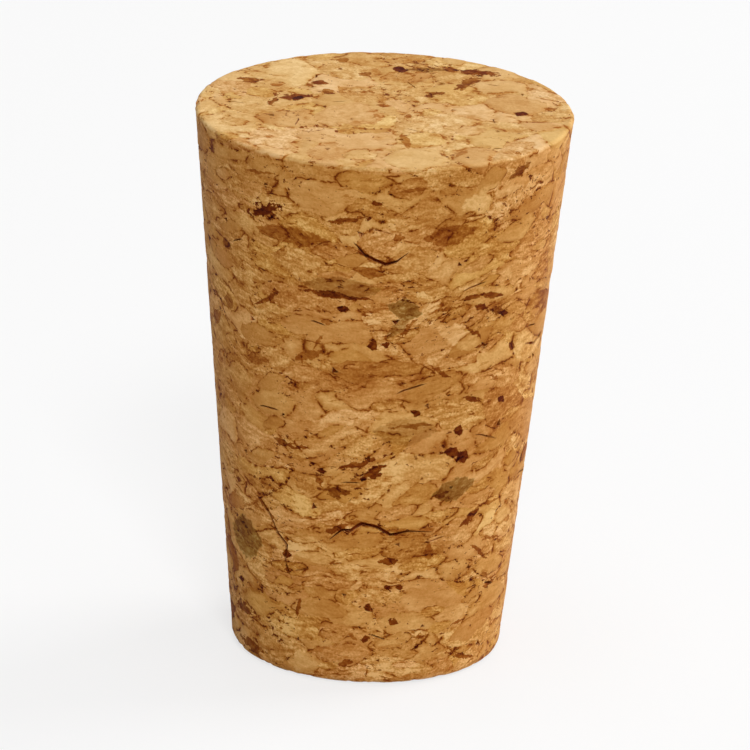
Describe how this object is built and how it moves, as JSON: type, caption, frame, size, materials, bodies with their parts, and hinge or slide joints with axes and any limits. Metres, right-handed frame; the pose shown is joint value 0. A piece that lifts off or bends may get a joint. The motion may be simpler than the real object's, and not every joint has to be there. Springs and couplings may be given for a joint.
{
  "type": "cork stopper",
  "caption": "Long tapered stopper of agglomerated cork with flat ends, for closing round mouths; its flank shows flat pressed granules, clefts and pits.",
  "frame": {"origin": "centre of the narrow end's flat face, on which the stopper stands", "axes": "+Z along the taper's axis, from the narrow end to the wide end"},
  "size_m": [0.024, 0.024, 0.0357],
  "materials": {
    "cork": "bare agglomerated cork, ground smooth, with darker granule borders and bark specks"
  },
  "bodies": {
    "root": {"stopper": "cork"}
  },
  "joints": []
}
